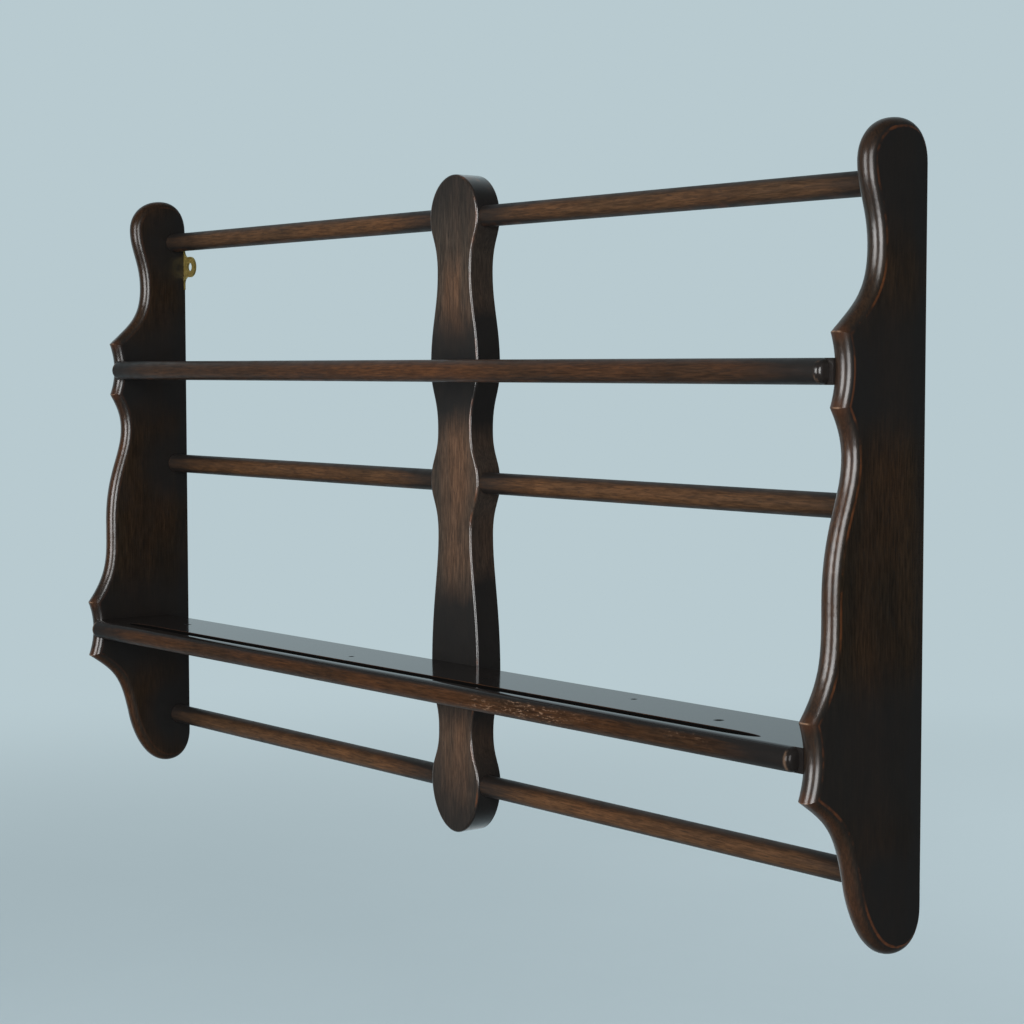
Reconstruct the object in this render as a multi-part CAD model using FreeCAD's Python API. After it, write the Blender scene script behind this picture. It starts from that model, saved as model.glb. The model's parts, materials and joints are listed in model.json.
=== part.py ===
import FreeCAD, Part
import math
import os

# A wall plate rack in dark-stained wood: two shaped end panels and a shaped centre splat
# carry three rows of turned back rods, an upper front rail and a grooved plate shelf.
# It hangs on two brass plates let into the back edges of the end panels.
# Millimetres. X runs along the rack, +Y points into the wall, +Z is up.
# The origin is on the wall plane, midway between the two hanging holes.

os.makedirs("parts", exist_ok=True)
V = FreeCAD.Vector

# overall
LENGTH = 965.0            # over the outer faces of the end panels
PANEL_T = 16.0            # end panel thickness
OUT = LENGTH / 2          # outer face of an end panel
INN = OUT - PANEL_T       # inner face of an end panel
TOP_Z, FOOT_Z = 63.4, -487.6

# back rods: full diameter between shoulders, turned down to tenons in blind bores
ROD_R, ROD_Y = 8.75, -13.0
ROD_Z = {"top": 23.5, "middle": -192.5, "bottom": -441.5}
TENON_R, TENON_L = 5.5, 11.0
SHOULDER_EASE = 0.8

# centre splat
SPLAT_T = 23.6
SPLAT_CREST = 31.9        # half width at the rods
ROD_HOUSING = 1.0         # rod ends are let this far into the splat's edges
SPLAT_SEAT = SPLAT_CREST - ROD_HOUSING
SPLAT_ROUND = 2.0         # rounding of the splat's front arris

# front rail and shelf: both axes lie close to the front line of the panels' hollows
RAIL_R, RAIL_Y, RAIL_Z = 8.75, -75.8, -101.2
SHELF_T, SHELF_TOP = 17.0, -342.0
SHELF_R = SHELF_T / 2
NOSE_Y, NOSE_Z = -101.0, SHELF_TOP - SHELF_R
SHELF_BACK_ROUND = 1.0    # rounding of the shelf's rear arrises
RAIL_HOLLOW_Y, NOSE_HOLLOW_Y = -74.5, -100.8    # deepest points of the hollows
END_ROUND = 5.0           # rounding on the free front half of rail and nose ends
LET_IN = 4.0              # behind it, rail and shelf are let this far into the panels

# plate groove: round-bottomed, both ends run out to a point
GROOVE_Y, GROOVE_W, GROOVE_D = -91.0, 13.0, 5.0
GROOVE_TIP, GROOVE_RUNOUT = 422.0, 34.0

# hidden dowels, pins and screws
DOWEL_R, DOWEL_IN_PANEL, DOWEL_IN_SHELF = 4.0, 12.0, 14.0
DOWEL_Y = (-36.0, -60.0, -84.0)
PIN_R, PIN_Y, PIN_IN_PANEL, PIN_IN_RAIL = 2.0, -70.2, 12.0, 12.0
SPLAT_SCREW_X, SPLAT_SCREW_R, SPLAT_SCREW_L = 14.0, 2.2, 44.0
SPLAT_HEAD_R, SPLAT_HEAD_D = 4.4, 3.4

# brass hanging plates
HOLE_X, HOLE_R = 455.5, 4.25
EAR_R, EAR_COVE_R = 10.0, 7.0
PLATE_T, STRIP_W, STRIP_HALF = 2.0, 12.5, 22.0
PLATE_SCREW_Z, PLATE_SCREW_R, PLATE_SCREW_L, PLATE_HEAD_R = 13.5, 1.75, 16.0, 3.6

# arris roundings of the end panels
ROUND_FRONT, ROUND_BACK = 7.4, 1.2


def curve(place, *pts):
    """Cubic segment through its first and last point, the middle two steer it."""
    c = Part.BezierCurve()
    c.setPoles([place(*p) for p in pts])
    return c.toShape()


def rod(radius, x0, x1, y, z):
    return Part.makeCylinder(radius, x1 - x0, V(x0, y, z), V(1, 0, 0))


def mirrored(shape):
    return shape.mirror(V(0, 0, 0), V(1, 0, 0))


def groups(solids):
    return Part.makeCompound(solids) if len(solids) > 1 else solids[0]


# ---------------------------------------------------------------- end panel
def panel_outline(x):
    """Side profile, from the wall over the top lobe, down the front and back to the wall."""
    def at(y, z):
        return V(x, y, z)

    def hollow(y_cusp, y_deep, z_high, z_low):
        return Part.Arc(at(y_cusp, z_high), at(y_deep, (z_high + z_low) / 2), at(y_cusp, z_low)).toShape()

    # cusps above and below the rail, then above and below the shelf nose
    rail_cusp, z1, z2 = -79.4, -75.6, -124.6
    shelf_cusp, z3, z4 = -106.0, -325.2, -377.0
    return [
        # top lobe
        curve(at, (0, 34.5), (0, 53.0), (-9.0, TOP_Z), (-23.5, TOP_Z)),
        curve(at, (-23.5, TOP_Z), (-42.5, TOP_Z), (-55.5, 50.8), (-55.5, 34.5)),
        # cove under the lobe, out to the first cusp
        curve(at, (-55.5, 34.5), (-55.5, 15), (-45.2, 3.5), (-45.2, -21)),
        curve(at, (-45.2, -21), (-45.2, -50), (-59.4, -57.8), (rail_cusp, z1)),
        # hollow behind the front rail
        hollow(rail_cusp, RAIL_HOLLOW_Y, z1, z2),
        # waist, long swelling, out to the shelf cusp
        curve(at, (rail_cusp, z2), (-74.9, -132.5), (-68.2, -142.5), (-68.2, -157.5)),
        curve(at, (-68.2, -157.5), (-68.2, -184), (-85.6, -200), (-85.6, -249)),
        curve(at, (-85.6, -249), (-85.6, -283.5), (-84.4, -297.4), (shelf_cusp, z3)),
        # hollow behind the shelf nose
        hollow(shelf_cusp, NOSE_HOLLOW_Y, z3, z4),
        # reverse curve down to the bottom lobe
        curve(at, (shelf_cusp, z4), (-77.4, -395.2), (-71.6, -401.3), (-63.1, -440)),
        curve(at, (-63.1, -440), (-59.0, -458.6), (-44.6, FOOT_Z), (-23, FOOT_Z)),
        curve(at, (-23, FOOT_Z), (-9.0, FOOT_Z), (0, -476.6), (0, -458)),
        # straight back edge on the wall
        Part.makeLine(at(0, -458), at(0, 34.5)),
    ]


def arris_radii(index, edge):
    """Start and end radius for one outline edge."""
    back, lobes_at_wall = 12, (0, 11)
    if index == back:
        return ROUND_BACK, ROUND_BACK
    if index in lobes_at_wall:
        starts_at_wall = abs(edge.valueAt(edge.FirstParameter).y) < 1e-3
        return (ROUND_BACK, ROUND_FRONT) if starts_at_wall else (ROUND_FRONT, ROUND_BACK)
    return ROUND_FRONT, ROUND_FRONT


def mid_point(edge):
    return edge.valueAt((edge.FirstParameter + edge.LastParameter) / 2)


def panel_blank():
    outline = panel_outline(INN)
    board = Part.Face(Part.Wire(outline)).extrude(V(PANEL_T, 0, 0))
    doc = FreeCAD.newDocument("panel")
    base = doc.addObject("Part::Feature", "board")
    base.Shape = board
    rounded = doc.addObject("Part::Fillet", "rounded")
    rounded.Base = base
    picks = []
    for number, edge in enumerate(board.Edges, 1):
        if edge.BoundBox.XLength > 1e-6:
            continue
        mid = mid_point(edge)
        for index, segment in enumerate(outline):
            m = mid_point(segment)
            if abs(m.y - mid.y) < 0.2 and abs(m.z - mid.z) < 0.2:
                picks.append((number,) + arris_radii(index, edge))
    rounded.Edges = picks
    doc.recompute()
    shape = rounded.Shape.copy()
    FreeCAD.closeDocument(doc.Name)
    return shape


# ---------------------------------------------------------------- centre splat
def splat_blank():
    """Symmetric wavy board: crests at the rods, rail and shelf, waists between them."""
    def right(w, z):
        return V(w, 0, z)

    def left(w, z):
        return V(-w, 0, z)

    crest, waist = SPLAT_CREST, 22.4
    top_z, foot_z = 58.5, -483.6
    zt, zm, zb = ROD_Z["top"], ROD_Z["middle"], ROD_Z["bottom"]
    flow = [
        [(0, top_z), (17.5, top_z), (crest, 43), (crest, zt)],
        [(crest, zt), (crest, 8.5), (waist, 4.5), (waist, -21)],
        [(waist, -21), (waist, -50), (crest, -64), (crest, -98)],
        [(crest, -98), (crest, -121), (waist, -122), (waist, -150)],
        [(waist, -150), (waist, -172), (crest, -174), (crest, zm)],
        [(crest, zm), (crest, -209), (waist, -211), (waist, -236)],
        [(waist, -236), (waist, -268), (crest, -296), (crest, NOSE_Z)],
        [(crest, NOSE_Z), (crest, -377), (waist, -375), (waist, -400)],
        [(waist, -400), (waist, -422), (crest, -424), (crest, zb)],
        [(crest, zb), (crest, -464), (17.5, foot_z), (0, foot_z)],
    ]
    edges = [curve(right, *pts) for pts in flow]
    edges += [curve(left, *reversed(pts)) for pts in reversed(flow)]
    board = Part.Face(Part.Wire(edges)).extrude(V(0, -SPLAT_T, 0))
    front = [e for e in board.Edges if abs(e.BoundBox.YMax + SPLAT_T) < 1e-3]
    return board.makeFillet(SPLAT_ROUND, front)


# ---------------------------------------------------------------- rods, rail, shelf
def back_rod(z):
    """Right-hand rod of one row, from the splat to the right end panel."""
    body = rod(ROD_R, SPLAT_SEAT, INN, ROD_Y, z)
    shoulder = [e for e in body.Edges if e.Curve.TypeId == "Part::GeomCircle" and mid_point(e).x > INN - 1]
    body = body.makeChamfer(SHOULDER_EASE, shoulder)
    tenon = rod(TENON_R, SPLAT_SEAT - TENON_L, INN + TENON_L, ROD_Y, z)
    return body.fuse(tenon).removeSplitter()


def half_space(y, back):
    size = 4 * LENGTH
    corner = V(-size / 2, y if back else y - size, -size / 2)
    return Part.makeBox(size, size, size, corner)


def free_front(radius, y, z):
    """Front half of a bar between the panels, rounded over at both ends."""
    bar = rod(radius, -INN, INN, y, z)
    rims = [e for e in bar.Edges if e.Curve.TypeId == "Part::GeomCircle"]
    return bar.makeFillet(END_ROUND, rims).common(half_space(y, False))


def front_rail():
    back = rod(RAIL_R, -INN - LET_IN, INN + LET_IN, RAIL_Y, RAIL_Z).common(half_space(RAIL_Y, True))
    return free_front(RAIL_R, RAIL_Y, RAIL_Z).fuse(back).removeSplitter()


def groove_hollow():
    """Cigar-shaped body whose lowest part fills the groove."""
    depth_of_axis = ((GROOVE_W / 2) ** 2 - GROOVE_D ** 2) / (2 * GROOVE_D)
    radius = GROOVE_D + depth_of_axis
    z = SHELF_TOP + depth_of_axis
    reach = GROOVE_RUNOUT / math.sqrt(1 - (depth_of_axis / radius) ** 2)
    straight = GROOVE_TIP - GROOVE_RUNOUT
    tip = straight + reach

    def at(x, r):
        return V(x, GROOVE_Y, z + r)

    k = 0.5523
    edges = [
        curve(at, (-tip, 0), (-tip, radius * k), (-straight - reach * k, radius), (-straight, radius)),
        Part.makeLine(at(-straight, radius), at(straight, radius)),
        curve(at, (straight, radius), (straight + reach * k, radius), (tip, radius * k), (tip, 0)),
        Part.makeLine(at(tip, 0), at(-tip, 0)),
    ]
    return Part.Face(Part.Wire(edges)).revolve(V(0, GROOVE_Y, z), V(1, 0, 0), 360)


def shelf_board():
    reach = INN + LET_IN
    flat = Part.makeBox(2 * reach, -SPLAT_T - NOSE_Y, SHELF_T, V(-reach, NOSE_Y, SHELF_TOP - SHELF_T))
    rear = [e for e in flat.Edges if abs(e.BoundBox.YMin + SPLAT_T) < 1e-3 and e.Length > LENGTH / 2]
    flat = flat.makeFillet(SHELF_BACK_ROUND, rear)
    board = flat.fuse(free_front(SHELF_R, NOSE_Y, NOSE_Z)).removeSplitter()
    return board.cut(groove_hollow())


# ---------------------------------------------------------------- fixings
def countersunk(radius, length, head_r, head_d, x, z, slot=True):
    """Screw driven forward from the wall plane, head flush with it."""
    head = Part.makeCone(head_r, radius, head_d, V(x, 0, z), V(0, -1, 0))
    point = 2.5 * radius
    shank = Part.makeCylinder(radius, length - head_d - point, V(x, -head_d, z), V(0, -1, 0))
    tip = Part.makeCone(radius, 0.3, point, V(x, -length + point, z), V(0, -1, 0))
    full = head.fuse([shank, tip]).removeSplitter()
    if not slot:
        return full
    return full.cut(Part.makeBox(2 * head_r, 0.9, 0.9, V(x - head_r, -0.9, z - 0.45)))


def hanging_plate():
    """Right-hand brass plate: strip in the panel's back edge, eared hole inboard of it."""
    def at(x, z):
        return V(x, 0, z)

    rise = EAR_R + EAR_COVE_R
    cove_x = INN - EAR_COVE_R
    cove_z = math.sqrt(rise ** 2 - (cove_x - HOLE_X) ** 2)
    touch_x = HOLE_X + (cove_x - HOLE_X) * EAR_R / rise
    touch_z = cove_z * EAR_R / rise
    lean = math.atan2(touch_z - cove_z, touch_x - cove_x)
    half = lean / 2
    cove_mid = (cove_x + EAR_COVE_R * math.cos(half), cove_z + EAR_COVE_R * math.sin(half))
    far = INN + STRIP_W
    r = 3.0
    s = r * (1 - math.sqrt(0.5))

    def corner(sign):
        a, b = (far - r, sign * STRIP_HALF), (far, sign * (STRIP_HALF - r))
        m = (far - s, sign * (STRIP_HALF - s))
        return a, m, b

    a, m, b = corner(1)
    d, n, c = corner(-1)
    edges = [
        Part.Arc(at(touch_x, -touch_z), at(HOLE_X - EAR_R, 0), at(touch_x, touch_z)).toShape(),
        Part.Arc(at(touch_x, touch_z), at(*cove_mid), at(INN, cove_z)).toShape(),
        Part.makeLine(at(INN, cove_z), at(INN, STRIP_HALF)),
        Part.makeLine(at(INN, STRIP_HALF), at(*a)),
        Part.Arc(at(*a), at(*m), at(*b)).toShape(),
        Part.makeLine(at(*b), at(*c)),
        Part.Arc(at(*c), at(*n), at(*d)).toShape(),
        Part.makeLine(at(*d), at(INN, -STRIP_HALF)),
        Part.makeLine(at(INN, -STRIP_HALF), at(INN, -cove_z)),
        Part.Arc(at(INN, -cove_z), at(cove_mid[0], -cove_mid[1]), at(touch_x, -touch_z)).toShape(),
    ]
    return Part.Face(Part.Wire(edges)).extrude(V(0, -PLATE_T, 0))


def plate_screws(slot=True):
    x = INN + STRIP_W / 2
    return [countersunk(PLATE_SCREW_R, PLATE_SCREW_L, PLATE_HEAD_R, PLATE_T, x, z, slot)
            for z in (PLATE_SCREW_Z, -PLATE_SCREW_Z)]


def splat_screws(slot=True):
    return [countersunk(SPLAT_SCREW_R, SPLAT_SCREW_L, SPLAT_HEAD_R, SPLAT_HEAD_D, x, NOSE_Z, slot)
            for x in (-SPLAT_SCREW_X, SPLAT_SCREW_X)]


def shelf_dowels():
    return [rod(DOWEL_R, INN - DOWEL_IN_SHELF, INN + DOWEL_IN_PANEL, y, NOSE_Z) for y in DOWEL_Y]


def rail_pin():
    return rod(PIN_R, INN - PIN_IN_RAIL, INN + PIN_IN_PANEL, PIN_Y, RAIL_Z)


# ---------------------------------------------------------------- fit everything together
rods = {row: back_rod(z) for row, z in ROD_Z.items()}
plate_strip = hanging_plate()
plate_holes = [Part.makeCylinder(HOLE_R, PLATE_T, V(HOLE_X, 0, 0), V(0, -1, 0))] + plate_screws(False)
plate = plate_strip.cut(plate_holes)

rail, shelf = front_rail(), shelf_board()
panel = panel_blank().cut([plate_strip] + plate_screws(False) + list(rods.values())
                          + [rail, shelf, rail_pin()] + shelf_dowels())
rail = rail.cut([rail_pin(), mirrored(rail_pin())])
shelf = shelf.cut(shelf_dowels() + [mirrored(d) for d in shelf_dowels()] + splat_screws(False))
splat = splat_blank().cut(list(rods.values()) + [mirrored(r) for r in rods.values()] + splat_screws(False))

nodes = {
    "centre_splat": splat,
    "front_rail": rail,
    "shelf": shelf,
    "splat_screws": groups(splat_screws()),
}
pairs = {
    "end_panel": panel,
    "hanging_plate": plate,
    "plate_screws": groups(plate_screws()),
    "rail_pin": rail_pin(),
    "shelf_dowels": groups(shelf_dowels()),
}
for row, shape in rods.items():
    pairs["rod_" + row] = shape
for name, shape in pairs.items():
    nodes[name + "_right"] = shape
    nodes[name + "_left"] = mirrored(shape)

for name, shape in nodes.items():
    solids = shape.Solids
    assert solids and all(s.isValid() and s.isClosed() for s in solids), name
    shape = groups(solids)
    shape.exportStep("parts/" + name + ".step")
    box = shape.BoundBox
    print(name, len(solids), round(sum(s.Volume for s in solids)),
          [round(v, 2) for v in (box.XMin, box.XMax, box.YMin, box.YMax, box.ZMin, box.ZMax)])
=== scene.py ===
import json
import math

import bpy
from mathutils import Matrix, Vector


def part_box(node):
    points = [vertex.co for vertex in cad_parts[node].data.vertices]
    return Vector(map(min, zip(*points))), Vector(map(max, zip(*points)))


# The looks of a wall plate rack: dark-stained, lacquered wood, rubbed through on its arrises,
# with two aged brass hanging plates. Metres, in the frame of the CAD model:
# X along the rack, +Y into the wall, +Z up, origin midway between the hanging holes.

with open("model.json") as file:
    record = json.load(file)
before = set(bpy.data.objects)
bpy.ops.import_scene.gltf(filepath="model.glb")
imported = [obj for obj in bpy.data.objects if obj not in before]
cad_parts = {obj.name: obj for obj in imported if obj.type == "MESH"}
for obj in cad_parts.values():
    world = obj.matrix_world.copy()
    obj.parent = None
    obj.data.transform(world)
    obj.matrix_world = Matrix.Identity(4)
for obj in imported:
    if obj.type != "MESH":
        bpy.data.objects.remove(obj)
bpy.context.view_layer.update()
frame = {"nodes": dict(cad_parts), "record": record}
nodes = frame["nodes"]

SIDES = ("left", "right")
ROWS = ("top", "middle", "bottom")
X_GRAIN, Z_GRAIN = 0, 2


def middle(node):
    lo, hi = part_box(node)
    return (lo + hi) / 2


ROD_Y = middle("rod_top_right").y
ROD_Z = [middle(f"rod_{row}_right").z for row in ROWS]
RAIL_Z = middle("front_rail").z
SHELF_Z = middle("shelf").z
SHELF_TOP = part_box("shelf")[1].z
NOSE_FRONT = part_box("shelf")[0].y
SHELF_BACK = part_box("shelf")[1].y
PANEL_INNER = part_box("end_panel_right")[0].x
PANEL_MIDDLE = middle("end_panel_right").x
SPLAT_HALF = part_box("centre_splat")[1].x
FOOT_Z, TOP_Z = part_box("end_panel_right")[0].z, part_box("end_panel_right")[1].z

FRONT_BARS = (NOSE_FRONT + 0.008, NOSE_FRONT + 0.009)   # wear stays in front of the groove

openings = {opening["name"]: opening["box_m"] for opening in frame["record"]["physics"]["openings"]}
groove_lo, groove_hi = openings["plate_groove"]
GROOVE_Y = (groove_lo[1] + groove_hi[1]) / 2

# cusps of the end panels, above and below the rail and the shelf's nose:
# tip (y, z) and slope of the mitre behind it
RAIL_CUSP_Y = middle("front_rail").y - 0.0036
SHELF_CUSP_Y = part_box("end_panel_right")[0].y
CUSPS = [
    (RAIL_CUSP_Y, RAIL_Z + 0.0256, -0.21),
    (RAIL_CUSP_Y, RAIL_Z - 0.0234, 0.06),
    (SHELF_CUSP_Y, SHELF_TOP + 0.0168, -0.13),
    (SHELF_CUSP_Y, SHELF_TOP - 0.0350, 0.31),
]

# linear colours
# next: the pores' colour, and also the colour that painted shade darkens towards
PORE_INK_AND_SHADE = (0.0096, 0.0092, 0.0090, 1)
BLACK = (0.0025, 0.0022, 0.0020, 1)
RUBBED = (0.15, 0.048, 0.015, 1)
FLECK = (0.26, 0.105, 0.042, 1)
# next: pale scuffs on the shelf's nose, and also the colour of painted highlights on the panels' mitres and
# the bar ends
SCUFF_AND_HIGHLIGHT = (0.33, 0.20, 0.125, 1)


# ---------------------------------------------------------------- node trees
class Graph:
    """A node tree, with short calls for the nodes used here."""

    def __init__(self, tree, coordinates="Object"):
        self.tree = tree
        self.tree.nodes.clear()
        self.coords = self.node("ShaderNodeTexCoord")
        self.place = self.coords.outputs[coordinates]
        self.normal = self.split(self.coords.outputs["Normal"])
        self.x, self.y, self.z = self.split(self.place)

    def node(self, kind, inputs=None, **settings):
        made = self.tree.nodes.new(kind)
        for key, value in settings.items():
            setattr(made, key, value)
        for key, value in (inputs or {}).items():
            self.feed(made.inputs[key], value)
        return made

    def feed(self, socket, value):
        if isinstance(value, bpy.types.NodeSocket):
            self.tree.links.new(value, socket)
        else:
            socket.default_value = value

    def split(self, vector):
        return self.node("ShaderNodeSeparateXYZ", {0: vector}).outputs

    def math(self, operation, *values):
        return self.node("ShaderNodeMath", dict(enumerate(values)), operation=operation).outputs[0]

    def chain(self, operation, values):
        total = values[0]
        for value in values[1:]:
            total = self.math(operation, total, value)
        return total

    def add(self, *values):
        return self.chain("ADD", values)

    def times(self, *values):
        return self.chain("MULTIPLY", values)

    def most_one(self, *values):
        return self.math("MINIMUM", self.add(*values), 1.0)

    def ease(self, value, low, high, start=0.0, end=1.0):
        """Smooth step from start at low to end at high."""
        inputs = {"Value": value, "From Min": low, "From Max": high, "To Min": start, "To Max": end}
        return self.node("ShaderNodeMapRange", inputs, interpolation_type="SMOOTHSTEP").outputs[0]

    def near(self, coordinate, centre, half, fade):
        """1 within half of centre, falling to 0 over fade."""
        distance = self.math("ABSOLUTE", self.math("SUBTRACT", coordinate, centre))
        return self.ease(distance, half, half + fade, 1.0, 0.0)

    def size(self, coordinate):
        return self.math("ABSOLUTE", coordinate)

    def mix(self, factor, a, b, blend="MIX"):
        inputs = {0: factor, 6: a, 7: b}
        return self.node("ShaderNodeMix", inputs, data_type="RGBA", blend_type=blend).outputs[2]

    def mix_value(self, factor, a, b):
        return self.node("ShaderNodeMix", {0: factor, 2: a, 3: b}, data_type="FLOAT").outputs[0]

    def grey(self, value):
        return self.node("ShaderNodeCombineColor", {0: value, 1: value, 2: value}).outputs[0]

    def noise(self, vector, scale, detail=4.0, roughness=0.55, distortion=0.0):
        inputs = {"Vector": vector, "Scale": scale, "Detail": detail, "Roughness": roughness,
                  "Distortion": distortion}
        return self.node("ShaderNodeTexNoise", inputs).outputs["Fac"]

    def stretched(self, along, stretch, shift):
        """Object coordinates shifted, and squeezed along the grain so that noise runs out into streaks."""
        scale = [1.0, 1.0, 1.0]
        scale[along] = 1.0 / stretch
        inputs = {"Vector": self.place, "Location": shift, "Scale": scale}
        return self.node("ShaderNodeMapping", inputs).outputs[0]

    def broken(self, scale, low, high):
        """Irregular mask that breaks a worn line into stretches."""
        return self.ease(self.noise(self.place, scale, 3.0, 0.6), low, high)

    def bumps(self, *layers):
        """Stacks (height, strength, distance) layers into one normal."""
        normal = None
        for height, strength, distance in layers:
            inputs = {"Strength": strength, "Distance": distance, "Height": height}
            if normal is not None:
                inputs["Normal"] = normal
            normal = self.node("ShaderNodeBump", inputs).outputs[0]
        return normal

    def surface(self, colour, roughness, normal, coat=0.0, coat_roughness=0.1, specular=0.5, metal=0.0):
        return self.node("ShaderNodeBsdfPrincipled", {
            "Base Color": colour, "Roughness": roughness, "Normal": normal, "Coat Weight": coat,
            "Coat Roughness": coat_roughness, "Specular IOR Level": specular, "Metallic": metal}).outputs[0]


def new_material(name):
    material = bpy.data.materials.new(name)
    material.use_nodes = True
    return material, Graph(material.node_tree)


def output(g, shader, kind="ShaderNodeOutputMaterial"):
    g.node(kind, {0: shader})


# ---------------------------------------------------------------- stained wood
def wood(name, along, shift, tones, shade, rub, glow, flecks=None, dents=None,
         coat=0.06, coat_roughness=0.09, roughness=0.42, specular=0.14, texture=1.0, polish=None, dull=None,
         painted_highlight=None):
    """Dark-stained lacquered wood. along is the grain's axis and tones its low, high and warm colour.
    shade, rub and glow are functions of the graph: where shade is painted in as darker colour, where the
    arris is rubbed through, and where painted light turns the colour warm. flecks is the colour of the wear
    on the front, texture scales the fine relief. polish says where the lacquer shines more, and its
    roughness and coat there;
    dull says where it is black and without any shine, the last argument where pale highlights are painted
    in."""
    material, g = new_material(name)
    low, high, warm = tones
    figure = g.noise(g.stretched(along, 5.0, shift), 26.0, 3.0, 0.6, 0.6)
    fibre = g.noise(g.stretched(along, 14.0, shift), 900.0, 4.0, 0.7, 0.2)
    strand = g.noise(g.stretched(along, 14.0, shift), 320.0, 3.0, 0.6, 0.2)
    pores = g.ease(g.noise(g.stretched(along, 11.0, shift), 1300.0, 2.0, 0.5), 0.60, 0.70)
    cloud = g.noise(g.stretched(along, 1.6, shift), 17.0, 3.0, 0.55)

    body = g.mix(g.ease(figure, 0.32, 0.68), low, high)
    body = g.mix(g.times(glow(g), g.ease(g.add(figure, cloud), 0.5, 1.5)), body, warm)
    grain = g.times(g.ease(fibre, 0.30, 0.72, 0.5, 1.5), g.ease(strand, 0.3, 0.7, 0.88, 1.12))
    body = g.mix(1.0, body, g.grey(grain), "MULTIPLY")
    body = g.mix(g.times(pores, 0.6), body, PORE_INK_AND_SHADE)
    dark = g.most_one(shade(g), g.ease(cloud, 0.50, 0.72, 0.0, 0.3))
    body = g.mix(g.times(dark, 0.94), body, PORE_INK_AND_SHADE)
    worn = rub(g)
    body = g.mix(worn, body, RUBBED)
    if painted_highlight:
        body = g.mix(painted_highlight(g), body, SCUFF_AND_HIGHLIGHT)
    if flecks:
        fine = g.noise(g.stretched(along, 4.0, shift), 700.0, 3.0, 0.7)
        patches = g.noise(g.stretched(along, 4.5, shift), 30.0, 2.0, 0.5)
        front = g.times(g.ease(g.normal[1], -0.92, -0.5, 1.0, 0.0), g.ease(g.y, *FRONT_BARS, 1.0, 0.0))
        spots = g.times(g.ease(fine, 0.54, 0.66), g.ease(patches, 0.48, 0.64), front, 0.5)
        body = g.mix(spots, body, flecks)

    grime = g.noise(g.place, 70.0, 4.0, 0.6)
    rough = g.add(g.ease(grime, 0.3, 0.75, roughness - 0.05, roughness + 0.08), g.times(worn, 0.1))
    if polish:
        mask, polished_roughness, polished_coat = polish
        shine = mask(g)
        rough = g.mix_value(shine, rough, polished_roughness)
        coat = g.mix_value(shine, coat, polished_coat)
    if dull:
        matt = dull(g)
        body = g.mix(matt, body, BLACK)
        rough = g.mix_value(matt, rough, 0.95)
        coat = g.mix_value(matt, coat, 0.0)
    layers = [(g.noise(g.place, 150.0, 2.0, 0.5), 0.06 * texture, 0.0005), (fibre, 0.12 * texture, 0.0002),
              (pores, -0.2 * texture, 0.00015)]
    if dents:
        layers.append((dents(g), -1.0, 0.0008))
    output(g, g.surface(body, rough, g.bumps(*layers), coat, coat_roughness, specular))
    return material


def outward(g):
    """1 on the outer half of an end panel, 0 on its inner half."""
    return g.ease(g.times(g.normal[0], g.math("SIGN", g.x)), -0.1, 0.1)


def distance(g, *pairs):
    """How far a point lies from a line, given as two (coordinate, value) pairs."""
    squares = []
    for coordinate, value in pairs:
        offset = g.math("SUBTRACT", coordinate, value)
        squares.append(g.times(offset, offset))
    return g.math("SQRT", g.add(*squares))


def panel_shade(g):
    """Darker outside on the top and foot lobes; painted shade inside round the rod joints and on both faces
    by rail and shelf, all these stronger on the flat faces than on the front, and along the back edge by
    the wall.
    """
    outer = outward(g)
    lobes = g.add(g.ease(g.z, TOP_Z - 0.12, TOP_Z - 0.05, 0.0, 0.85),
                  g.ease(g.z, FOOT_Z + 0.11, FOOT_Z + 0.05, 0.0, 0.85))
    joints = g.add(*[g.ease(distance(g, (g.y, ROD_Y), (g.z, z)), 0.018, 0.05, 0.85, 0.0) for z in ROD_Z])
    rests = g.add(g.times(g.near(g.z, RAIL_Z, 0.020, 0.05), 0.85),
                  g.times(g.near(g.z, SHELF_Z, 0.024, 0.045), 0.8))
    face = g.ease(g.size(g.normal[0]), 0.80, 0.98, 0.35, 1.0)
    by_wall = g.ease(g.y, -0.016, -0.004, 0.0, 0.4)
    return g.most_one(g.times(g.add(g.mix_value(outer, joints, lobes), rests), face), by_wall)


def panel_rub(g):
    """A thin line where the flat face turns into the rounding, strongest outside, and the cusps."""
    steep = g.size(g.normal[0])
    line = g.times(g.ease(steep, 0.95, 0.98), g.ease(steep, 0.988, 0.9990, 1.0, 0.0))
    outer = g.add(0.2, g.times(0.8, outward(g)))
    stretches = g.add(g.times(g.broken(30.0, 0.40, 0.58), 0.7), g.times(g.broken(150.0, 0.48, 0.7), 0.45))
    arris = g.times(g.most_one(g.times(line, stretches)), outer, 0.5)
    tips = [g.ease(distance(g, (g.y, y), (g.z, z)), 0.002, 0.010, 0.14, 0.0) for y, z, _ in CUSPS]
    return g.most_one(arris, *tips)


def panel_mitre_highlights(g):
    """Painted highlight: a broken pale line along the sharp mitres behind the cusps, in the colour of worn
    lacquer.
    """
    lines = []
    for y, z, slope in CUSPS:
        drop = g.math("SUBTRACT", g.z, g.times(g.math("SUBTRACT", g.y, y), slope))
        lines.append(g.times(g.near(drop, z, 0.0002, 0.0006), g.ease(g.y, y + 0.006, y + 0.003)))
    across = g.near(g.size(g.x), PANEL_MIDDLE, 0.0025, 0.003)
    return g.times(g.add(*lines), across, g.broken(180.0, 0.35, 0.6), 0.5)


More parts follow.
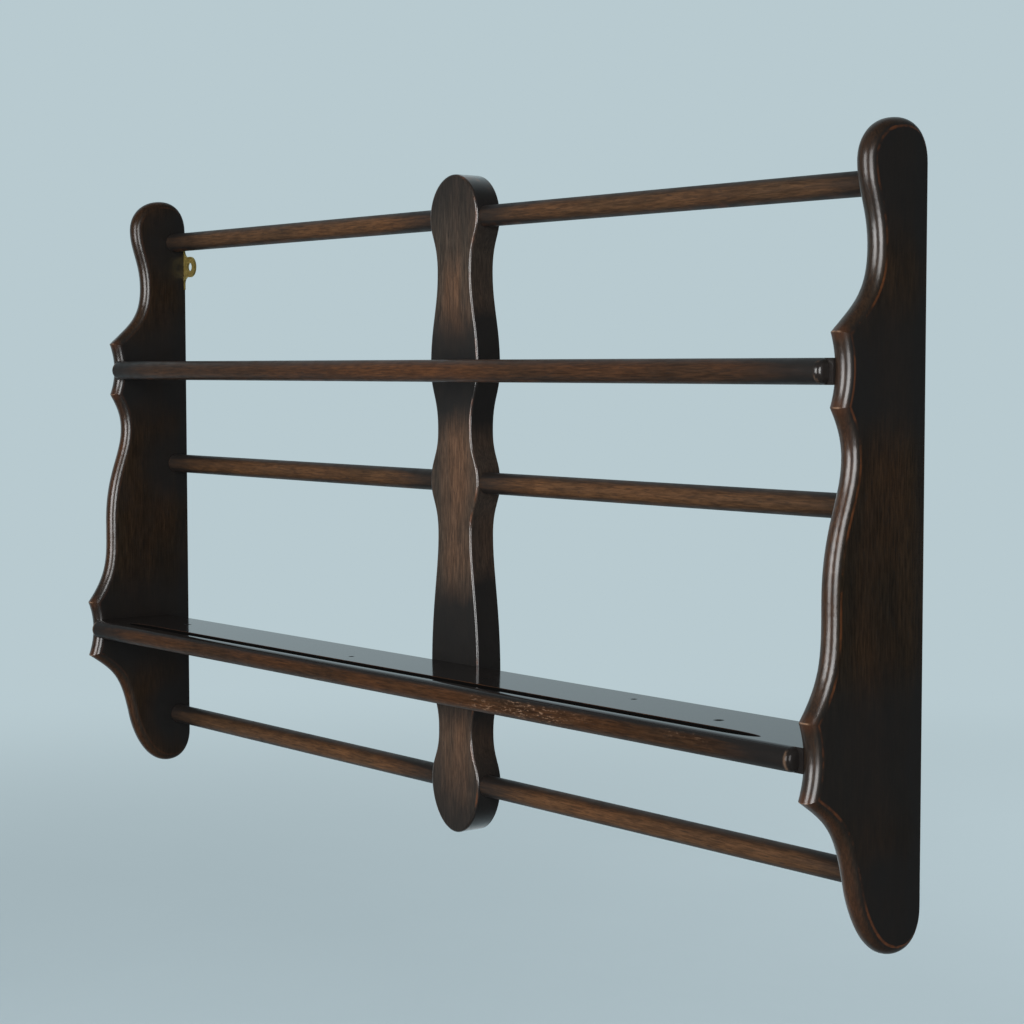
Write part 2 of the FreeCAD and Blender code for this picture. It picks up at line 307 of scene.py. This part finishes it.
# Painted light: a warm tone where the panel faces forward, up or down, most on the swell and the reverse
# curve; also a faint warm streak down the middle of the flat faces.
def panel_glow(g):
    edge = g.ease(g.size(g.normal[0]), 0.5, 0.97, 1.0, 0.0)
    swell = g.near(g.z, (RAIL_Z + SHELF_Z) / 2, 0.05, 0.09)
    reverse = g.near(g.z, (SHELF_Z + FOOT_Z) / 2, 0.03, 0.05)
    face = g.times(g.near(g.y, -0.042, 0.008, 0.03), 0.22)
    return g.most_one(g.times(edge, g.add(0.35, g.times(g.add(swell, reverse), 0.6))), face)


def panel_polish(g):
    """The rounded front shines unevenly, less so on the top lobe, by the wall and where it turns down."""
    rounded = g.ease(g.size(g.normal[0]), 0.93, 0.99, 1.0, 0.0)
    lobe = g.ease(g.z, TOP_Z - 0.050, TOP_Z - 0.015, 1.0, 0.2)
    uneven = g.ease(g.noise(g.place, 22.0, 2.0, 0.5), 0.38, 0.62, 0.6, 1.0)
    turned_down = g.ease(g.normal[2], -0.6, -0.25, 0.15, 1.0)
    by_wall = g.ease(g.y, -0.02, -0.01, 1.0, 0.2)
    return g.times(rounded, lobe, uneven, turned_down, by_wall)


def splat_polish(g):
    """The arris between the splat's front and sides."""
    tilt = g.size(g.normal[0])
    return g.times(g.ease(tilt, 0.1, 0.3), g.ease(tilt, 0.85, 0.97, 1.0, 0.0))


def end_polish(g):
    """The rounded-over ends of rail and nose, without their flat end faces."""
    rounding = g.ease(g.size(g.x), PANEL_INNER - 0.0045, PANEL_INNER - 0.0035)
    return g.times(rounding, g.ease(g.size(g.normal[0]), 0.7, 0.9, 1.0, 0.0))


def end_crescent_highlight(g):
    """Painted highlight: a broken pale crescent where the rounding of rail and nose ends begins."""
    line = g.near(g.size(g.x), PANEL_INNER - 0.0046, 0.0003, 0.0016)
    return g.times(line, g.ease(g.normal[1], -0.75, -0.3, 1.0, 0.0), g.broken(120.0, 0.35, 0.55), 0.22)


# Painted shade: dark bands where the rail and the shelf cross the splat's front, and its sides darker than
# its front; the top and the foot are darker too.
def splat_shade(g):
    dark_bands = [(RAIL_Z, 0.022, 0.04, 0.95), (SHELF_TOP + 0.012, 0.026, 0.05, 1.0),
                  (TOP_Z - 0.01, 0.0, 0.06, 0.7), (FOOT_Z, 0.01, 0.08, 0.8)]
    bands = g.add(*[g.times(g.near(g.z, z, half, fade), amount) for z, half, fade, amount in dark_bands])
    side = g.ease(g.size(g.normal[0]), 0.6, 0.95, 0.0, 0.5)
    return g.most_one(bands, side)


def splat_rub(g):
    tilt = g.size(g.normal[0])
    line = g.times(g.ease(tilt, 0.1, 0.3), g.ease(tilt, 0.6, 0.9, 1.0, 0.0))
    return g.times(line, g.broken(60.0, 0.5, 0.66), 0.4)


# Painted light: warm bands down the middle of the splat's front, between the darker bands at top, rail,
# shelf and foot.
def splat_glow(g):
    warm = [((TOP_Z + RAIL_Z) / 2 - 0.03, 0.015, 0.035, 1.0), ((RAIL_Z + SHELF_TOP) / 2, 0.06, 0.05, 0.5),
            ((SHELF_Z + FOOT_Z) / 2, 0.02, 0.04, 0.5)]
    total = g.add(*[g.times(g.near(g.z, z, half, fade), amount) for z, half, fade, amount in warm])
    return g.times(g.most_one(total), g.near(g.x, 0.003, 0.006, 0.022))


def round_shade(g):
    """Painted shade: turned bars are darker above and below."""
    return g.ease(g.size(g.normal[2]), 0.35, 0.95, 0.0, 0.75)


# Painted shade: rods darker near the splat and the end panels, where they meet them, and above and below.
def rod_shade(g):
    along = g.size(g.x)
    ends = g.add(g.ease(along, SPLAT_HALF, SPLAT_HALF + 0.08, 1.0, 0.0),
                 g.ease(along, PANEL_INNER - 0.09, PANEL_INNER, 0.0, 1.0))
    return g.most_one(g.times(ends, 0.8), round_shade(g))


def bar_shade(g):
    """Painted shade: the rail and the shelf's nose darken towards the end panels, and a little above and
    below.
    """
    ends = g.ease(g.size(g.x), PANEL_INNER - 0.10, PANEL_INNER - 0.005, 0.0, 0.95)
    return g.most_one(ends, g.times(round_shade(g), 0.6))


def shelf_shade(g):
    top = g.ease(g.normal[2], 0.55, 0.9, 0.0, 0.95)
    return g.most_one(top, bar_shade(g))


def in_groove(g):
    return g.times(g.ease(g.z, SHELF_TOP - 0.0006, SHELF_TOP - 0.0002, 1.0, 0.0),
                   g.near(g.y, GROOVE_Y, 0.0066, 0.0006))


def shelf_polish(g):
    """The top is polished, but not the groove or the nose."""
    top = g.most_one(g.ease(g.normal[2], 0.8, 0.95), g.ease(g.y, SHELF_BACK - 0.0026, SHELF_BACK - 0.0016))
    return g.most_one(g.times(top, g.math("SUBTRACT", 1.0, in_groove(g))), g.times(0.6, end_polish(g)))


def shelf_dents(g):
    """Small knocks in the shelf's top, as (x, y) and radius."""
    knocks = [(-0.377, -0.054, 0.0042), (-0.086, -0.067, 0.0032), (0.090, -0.061, 0.0038),
              (0.245, -0.044, 0.0032), (0.355, -0.064, 0.0048)]
    pits = []
    for x, y, r in knocks:
        pits.append(g.ease(distance(g, (g.x, x), (g.y, y)), r * 0.3, r, 1.0, 0.0))
    return g.add(*pits)


# Painted shade: the plate groove is painted black and matt; the knocks in the top are black and matt too.
def shelf_groove_shade_and_knocks(g):
    return g.most_one(in_groove(g), shelf_dents(g))


def bar_rub(g):
    underside = g.ease(g.normal[2], -0.95, -0.6, 1.0, 0.0)
    return g.times(underside, g.broken(40.0, 0.5, 0.7), 0.25)


# Painted light: warmer towards the middle of the rack, less towards the end panels.
def bar_glow(g):
    return g.ease(g.size(g.x), 0.05, PANEL_INNER - 0.05, 0.9, 0.35)


PANEL_TONES = ((0.0104, 0.0074, 0.0046, 1), (0.0172, 0.0106, 0.0056, 1), (0.0560, 0.0200, 0.0064, 1))
SPLAT_TONES = ((0.0365, 0.0272, 0.0204, 1), (0.0493, 0.0323, 0.0225, 1), (0.1530, 0.0680, 0.0306, 1))
ROD_TONES = ((0.0442, 0.0234, 0.0112, 1), (0.0527, 0.0268, 0.0124, 1), (0.1062, 0.0442, 0.0153, 1))
BAR_TONES = ((0.0229, 0.0120, 0.0062, 1), (0.0308, 0.0144, 0.0066, 1), (0.0686, 0.0255, 0.0084, 1))

looks = {}
for number, side in enumerate(SIDES):
    looks["end_panel_" + side] = wood("stained_panel_" + side, Z_GRAIN, (0.3 * number, 0.7, 0.1),
                                      PANEL_TONES, panel_shade, panel_rub, panel_glow,
                                      coat=0.12, coat_roughness=0.23, polish=(panel_polish, 0.36, 1.0),
                                      painted_highlight=panel_mitre_highlights)
looks["centre_splat"] = wood("stained_splat", Z_GRAIN, (1.7, 0.2, 0.4), SPLAT_TONES,
                             splat_shade, splat_rub, splat_glow,
                             coat_roughness=0.16, polish=(splat_polish, 0.3, 1.0))
looks["front_rail"] = wood("stained_rail", X_GRAIN, (0.2, 2.3, 0.6), BAR_TONES,
                           bar_shade, bar_rub, bar_glow, flecks=FLECK, coat_roughness=0.16,
                           polish=(end_polish, 0.3, 0.8), painted_highlight=end_crescent_highlight)
looks["shelf"] = wood("stained_shelf", X_GRAIN, (0.5, 3.1, 0.9), BAR_TONES, shelf_shade, bar_rub, bar_glow,
                      flecks=SCUFF_AND_HIGHLIGHT, dents=shelf_dents, coat_roughness=0.04, specular=0.05, texture=0.25,
                      polish=(shelf_polish, 0.12, 0.25), dull=shelf_groove_shade_and_knocks, painted_highlight=end_crescent_highlight)
for number, row in enumerate(ROWS):
    for side, sign in zip(SIDES, (-1, 1)):
        looks[f"rod_{row}_{side}"] = wood(f"stained_rod_{row}_{side}", X_GRAIN,
                                          (sign * 0.8, number * 1.3, 0.5), ROD_TONES,
                                          rod_shade, bar_rub, bar_glow, coat=0.03, roughness=0.5)


# ---------------------------------------------------------------- brass, steel, beech
def brass(name, deep, bright):
    material, g = new_material(name)
    tarnish = g.noise(g.place, 260.0, 5.0, 0.65)
    scratches = g.noise(g.stretched(X_GRAIN, 30.0, (0, 0, 0)), 2600.0, 2.0, 0.5)
    colour = g.mix(g.ease(tarnish, 0.35, 0.68), deep, bright)
    rough = g.ease(g.add(tarnish, scratches), 0.8, 1.3, 0.58, 0.38)
    normal = g.bumps((tarnish, 0.15, 0.0002), (scratches, 0.1, 0.0001))
    output(g, g.surface(colour, rough, normal, metal=1.0))
    return material


def steel(name):
    material, g = new_material(name)
    marks = g.noise(g.place, 900.0, 4.0, 0.6)
    colour = g.mix(marks, (0.22, 0.21, 0.20, 1), (0.5, 0.5, 0.49, 1))
    rough = g.ease(marks, 0.3, 0.7, 0.28, 0.45)
    output(g, g.surface(colour, rough, g.bumps((marks, 0.1, 0.0001)), metal=1.0))
    return material


def beech(name):
    material, g = new_material(name)
    fibre = g.noise(g.stretched(X_GRAIN, 20.0, (0, 0, 0)), 700.0, 4.0, 0.6)
    colour = g.mix(fibre, (0.42, 0.26, 0.13, 1), (0.62, 0.44, 0.27, 1))
    output(g, g.surface(colour, g.ease(fibre, 0.3, 0.7, 0.5, 0.62), g.bumps((fibre, 0.2, 0.0002))))
    return material


plate_look = brass("aged_brass_plate", (0.36, 0.27, 0.075, 1), (0.70, 0.55, 0.19, 1))
screw_look = brass("aged_brass_screw", (0.14, 0.10, 0.03, 1), (0.50, 0.38, 0.13, 1))
dowel_look = beech("beech_dowel")
for side in SIDES:
    looks["hanging_plate_" + side] = plate_look
    looks["plate_screws_" + side] = screw_look
    looks["rail_pin_" + side] = dowel_look
    looks["shelf_dowels_" + side] = dowel_look
looks["splat_screws"] = steel("steel_screw")

for name, look in looks.items():
    mesh = nodes[name].data
    mesh.materials.clear()
    mesh.materials.append(look)


# ---------------------------------------------------------------- studio
FLOOR_Z = FOOT_Z - 0.45
BRIGHT_WAY = (-0.78, 0.63)        # the studio's pale side, behind the rack
PALE, DIM = (0.48, 0.59, 0.63, 1), (0.050, 0.055, 0.058, 1)


def studio_glow(g, x, y):
    """Colour of the surroundings in the direction (x, y)."""
    towards = g.add(g.times(x, BRIGHT_WAY[0]), g.times(y, BRIGHT_WAY[1]))
    return g.mix(g.ease(towards, 0.0, 0.8), DIM, PALE)


def surroundings():
    world = bpy.data.worlds.new("studio")
    world.use_nodes = True
    g = Graph(world.node_tree, "Generated")
    background = g.node("ShaderNodeBackground", {0: studio_glow(g, g.x, g.y)})
    output(g, background.outputs[0], "ShaderNodeOutputWorld")
    bpy.context.scene.world = world


def floor():
    """Pale floor that fades into the surroundings far away."""
    rings, spokes, reach = 24, 96, 60.0
    points = [(0.0, 0.0, FLOOR_Z)]
    for ring in range(1, rings + 1):
        r = reach * (ring / rings) ** 2
        for spoke in range(spokes):
            turn = 2 * math.pi * spoke / spokes
            points.append((r * math.cos(turn), r * math.sin(turn), FLOOR_Z))
    faces = [(0, 1 + s, 1 + (s + 1) % spokes) for s in range(spokes)]
    for ring in range(rings - 1):
        a, b = 1 + ring * spokes, 1 + (ring + 1) * spokes
        faces += [(a + s, b + s, b + (s + 1) % spokes, a + (s + 1) % spokes) for s in range(spokes)]
    mesh = bpy.data.meshes.new("studio_floor")
    mesh.from_pydata(points, [], faces)
    made = bpy.data.objects.new("studio_floor", mesh)
    bpy.context.scene.collection.objects.link(made)

    material, g = new_material("pale_floor")
    mottle = g.noise(g.place, 3.0, 4.0, 0.6)
    colour = g.mix(mottle, (0.50, 0.60, 0.64, 1), (0.53, 0.63, 0.67, 1))
    near_floor = g.surface(colour, 0.8, g.bumps((mottle, 0.02, 0.002)), specular=0.1)
    away = g.math("SQRT", g.add(g.times(g.x, g.x), g.times(g.y, g.y)))
    glow = g.node("ShaderNodeEmission", {
        0: studio_glow(g, g.math("DIVIDE", g.x, away), g.math("DIVIDE", g.y, away))}).outputs[0]
    fade = g.ease(away, 0.5, 4.0)
    output(g, g.node("ShaderNodeMixShader", {0: fade, 1: near_floor, 2: glow}).outputs[0])
    mesh.materials.append(material)
    made.visible_glossy = False


def softbox(name, azimuth, height, distance, width, tall, power, mirrored=True):
    """Area light aimed at the rack's middle. Azimuth 0 is straight in front, 90 to the rack's right.
    mirrored says whether the lacquer shows its reflection."""
    data = bpy.data.lights.new(name, "AREA")
    data.shape, data.size, data.size_y = "RECTANGLE", width, tall
    data.energy = power
    made = bpy.data.objects.new(name, data)
    turn = math.radians(azimuth)
    aim = Vector((0, 0, (TOP_Z + FOOT_Z) / 2))
    made.location = aim + Vector((distance * math.sin(turn), -distance * math.cos(turn), height))
    made.rotation_mode = "QUATERNION"
    made.rotation_quaternion = (aim - made.location).to_track_quat("-Z", "Y")
    made.visible_glossy = mirrored
    bpy.context.scene.collection.objects.link(made)


def camera():
    data = bpy.data.cameras.new("view")
    data.sensor_width, data.lens = 36.0, 78.4
    data.clip_start, data.clip_end = 0.05, 200.0
    made = bpy.data.objects.new("view", data)
    made.location = (1.4576, -1.1329, -0.0981)
    made.rotation_euler = (math.pi / 2 - 0.065, 0.001, 0.894)
    bpy.context.scene.collection.objects.link(made)
    bpy.context.scene.camera = made


floor()
surroundings()
# name, azimuth, height, distance, width, tall, power
softbox("key_front", 2, 0.35, 2.6, 1.3, 1.6, 58)
softbox("key_right", 58, 0.35, 2.6, 1.1, 1.6, 50)
softbox("fill_left", -50, 1.2, 3.0, 2.6, 2.2, 8, mirrored=False)
softbox("back_fill", 190, 1.0, 3.0, 2.4, 1.8, 40, mirrored=False)
softbox("overhead", 0, 2.6, 0.3, 2.6, 2.6, 23, mirrored=False)
camera()
bpy.context.scene.view_settings.view_transform = "Standard"
